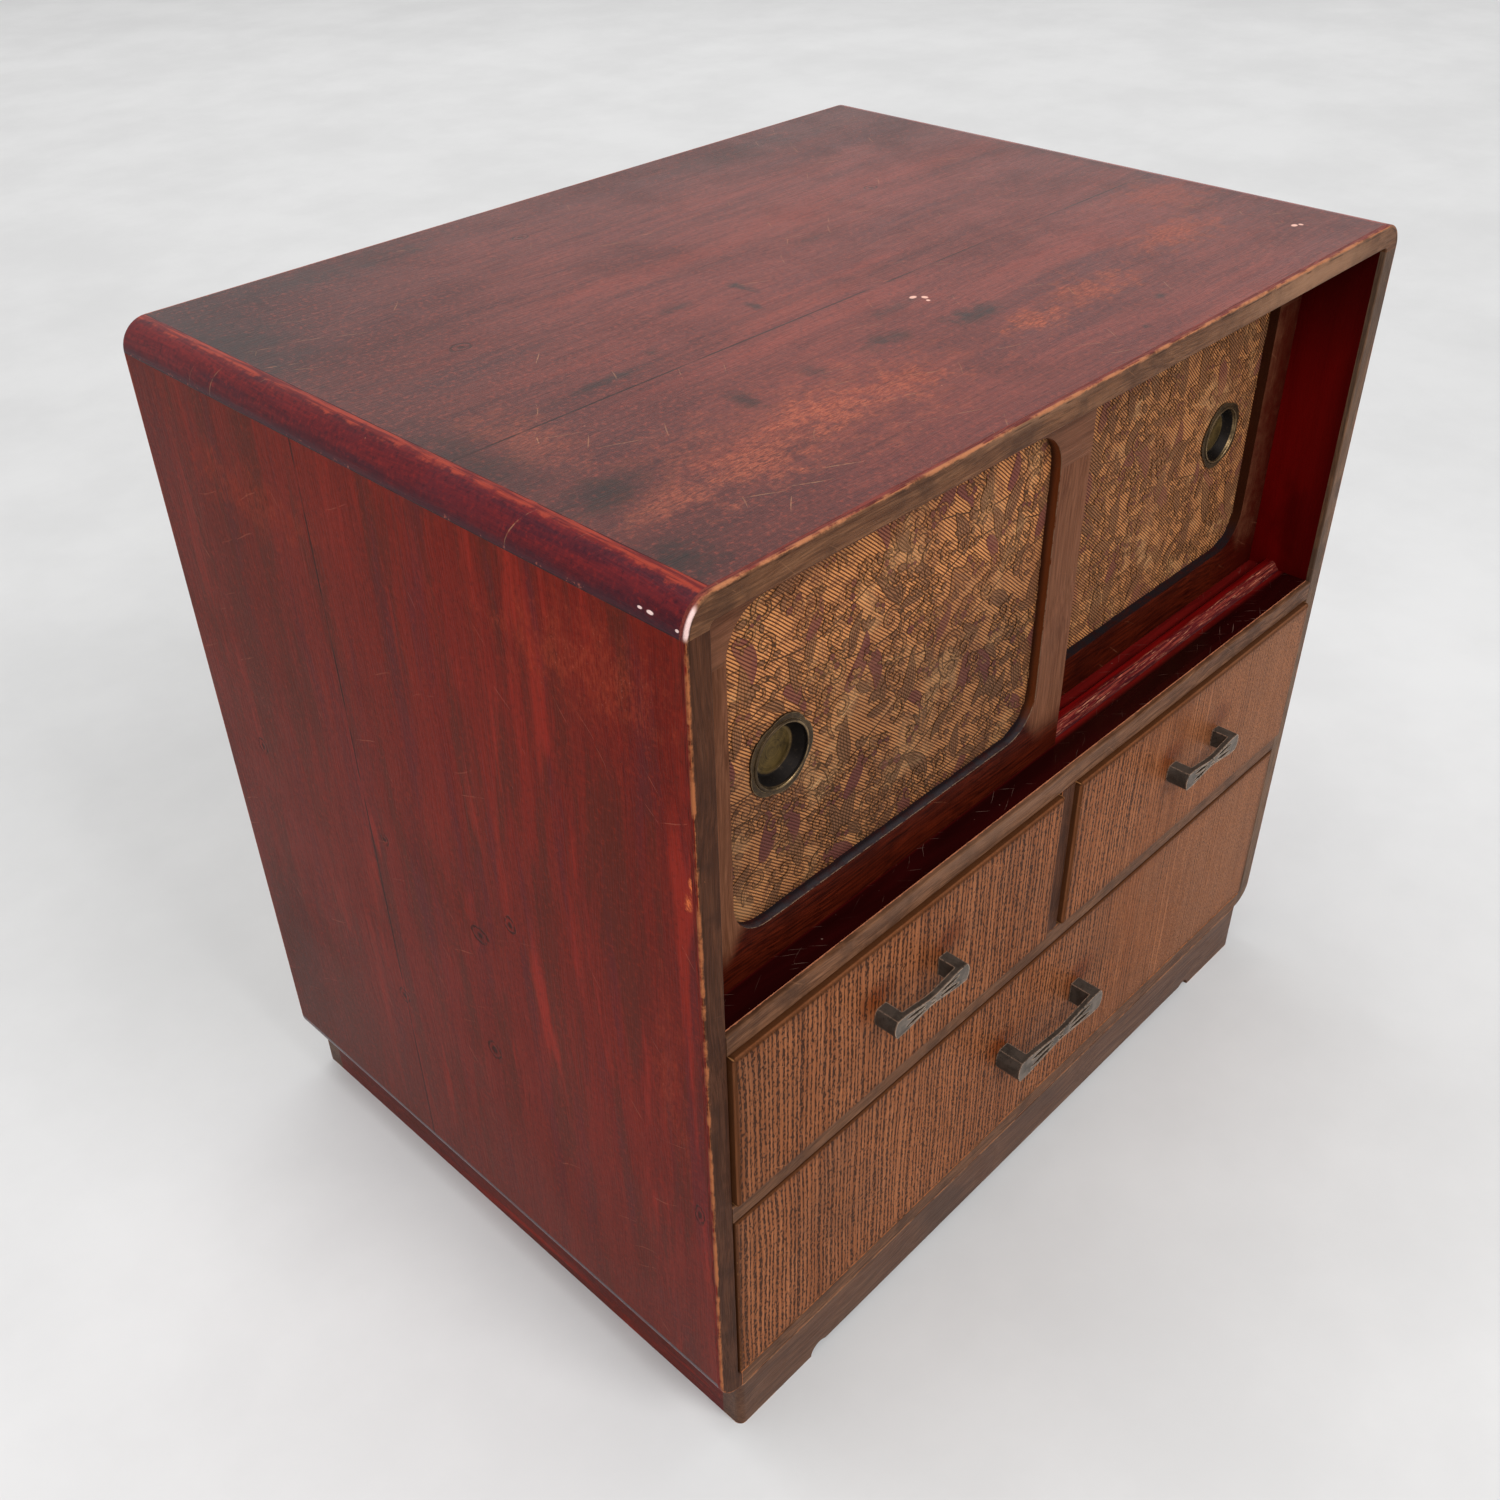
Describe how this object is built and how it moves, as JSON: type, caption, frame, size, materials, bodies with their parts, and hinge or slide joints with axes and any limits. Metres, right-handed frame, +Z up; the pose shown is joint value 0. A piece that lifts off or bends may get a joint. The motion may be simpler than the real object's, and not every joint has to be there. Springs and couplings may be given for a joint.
{
  "type": "tansu chest",
  "caption": "Low rounded lacquered chest with sliding fabric doors behind a ledge, small drawers over a wide drawer, and a plinth.",
  "frame": {"origin": "bottom centre of the bounding box, on the floor", "axes": "+Z up, +Y towards the back, +X towards the right seen from the front; the drawers and handles face -Y"},
  "size_m": [0.5, 0.3754, 0.485],
  "materials": {
    "red_lacquer": "worn red lacquer, satin",
    "dark_lacquer": "dark worn lacquer, satin",
    "gloss_lacquer": "deep red lacquer, glossy",
    "edge_wood": "grey-brown worn edge, satin",
    "brown_wood": "brown stained, satin",
    "oak": "open-pored, stained, satin",
    "plain_wood": "bare, matte",
    "brocade": "woven, matte",
    "aged_bronze": "dark patina",
    "dark_iron": "dark patina"
  },
  "bodies": {
    "case": {"top_front_board": "red_lacquer", "top_back_board": "red_lacquer", "left_side_front_board": "red_lacquer", "left_side_back_board": "red_lacquer", "right_side_front_board": "red_lacquer", "right_side_back_board": "red_lacquer", "top_left_corner": "dark_lacquer", "top_right_corner": "dark_lacquer", "bottom_left_corner": "dark_lacquer", "bottom_right_corner": "dark_lacquer", "bottom_board": "plain_wood", "shelf_board": "gloss_lacquer", "mid_rail": "edge_wood", "rear_rail": "plain_wood", "drawer_runners": "plain_wood", "divider_panel": "plain_wood", "divider_lipping": "edge_wood", "top_lipping": "edge_wood", "left_lipping": "edge_wood", "right_lipping": "edge_wood", "shelf_lipping": "edge_wood", "bottom_lipping": "edge_wood", "track_rails": "gloss_lacquer", "upper_track_battens": "edge_wood", "back_boards": "plain_wood", "back_nails": "dark_iron", "plinth_front": "brown_wood", "plinth_back": "brown_wood", "plinth_left": "red_lacquer", "plinth_right": "red_lacquer"},
    "left_door": {"left_door_stiles": "brown_wood", "left_door_top_rail": "brown_wood", "left_door_bottom_rail": "brown_wood", "left_door_panel": "plain_wood", "left_door_fabric": "brocade", "left_finger_pull": "aged_bronze"},
    "right_door": {"right_door_stiles": "brown_wood", "right_door_top_rail": "brown_wood", "right_door_bottom_rail": "brown_wood", "right_door_panel": "plain_wood", "right_door_fabric": "brocade", "right_finger_pull": "aged_bronze"},
    "left_drawer": {"left_drawer_front": "oak", "left_drawer_sides": "plain_wood", "left_drawer_back": "plain_wood", "left_drawer_bottom": "plain_wood", "left_handle": "dark_iron", "left_handle_screws": "dark_iron"},
    "right_drawer": {"right_drawer_front": "oak", "right_drawer_sides": "plain_wood", "right_drawer_back": "plain_wood", "right_drawer_bottom": "plain_wood", "right_handle": "dark_iron", "right_handle_screws": "dark_iron"},
    "wide_drawer": {"wide_drawer_front": "oak", "wide_drawer_sides": "plain_wood", "wide_drawer_back": "plain_wood", "wide_drawer_bottom": "plain_wood", "wide_handle": "dark_iron", "wide_handle_screws": "dark_iron"}
  },
  "joints": [
    {"name": "left_door_slide", "type": "slide", "parent": "case", "child": "left_door", "axis": [1, 0, 0], "range_m": [0, 0.228]},
    {"name": "right_door_slide", "type": "slide", "parent": "case", "child": "right_door", "axis": [-1, 0, 0], "range_m": [0, 0.228]},
    {"name": "left_drawer_slide", "type": "slide", "parent": "case", "child": "left_drawer", "axis": [0, -1, 0], "range_m": [0, 0.24]},
    {"name": "right_drawer_slide", "type": "slide", "parent": "case", "child": "right_drawer", "axis": [0, -1, 0], "range_m": [0, 0.24]},
    {"name": "wide_drawer_slide", "type": "slide", "parent": "case", "child": "wide_drawer", "axis": [0, -1, 0], "range_m": [0, 0.24]}
  ]
}
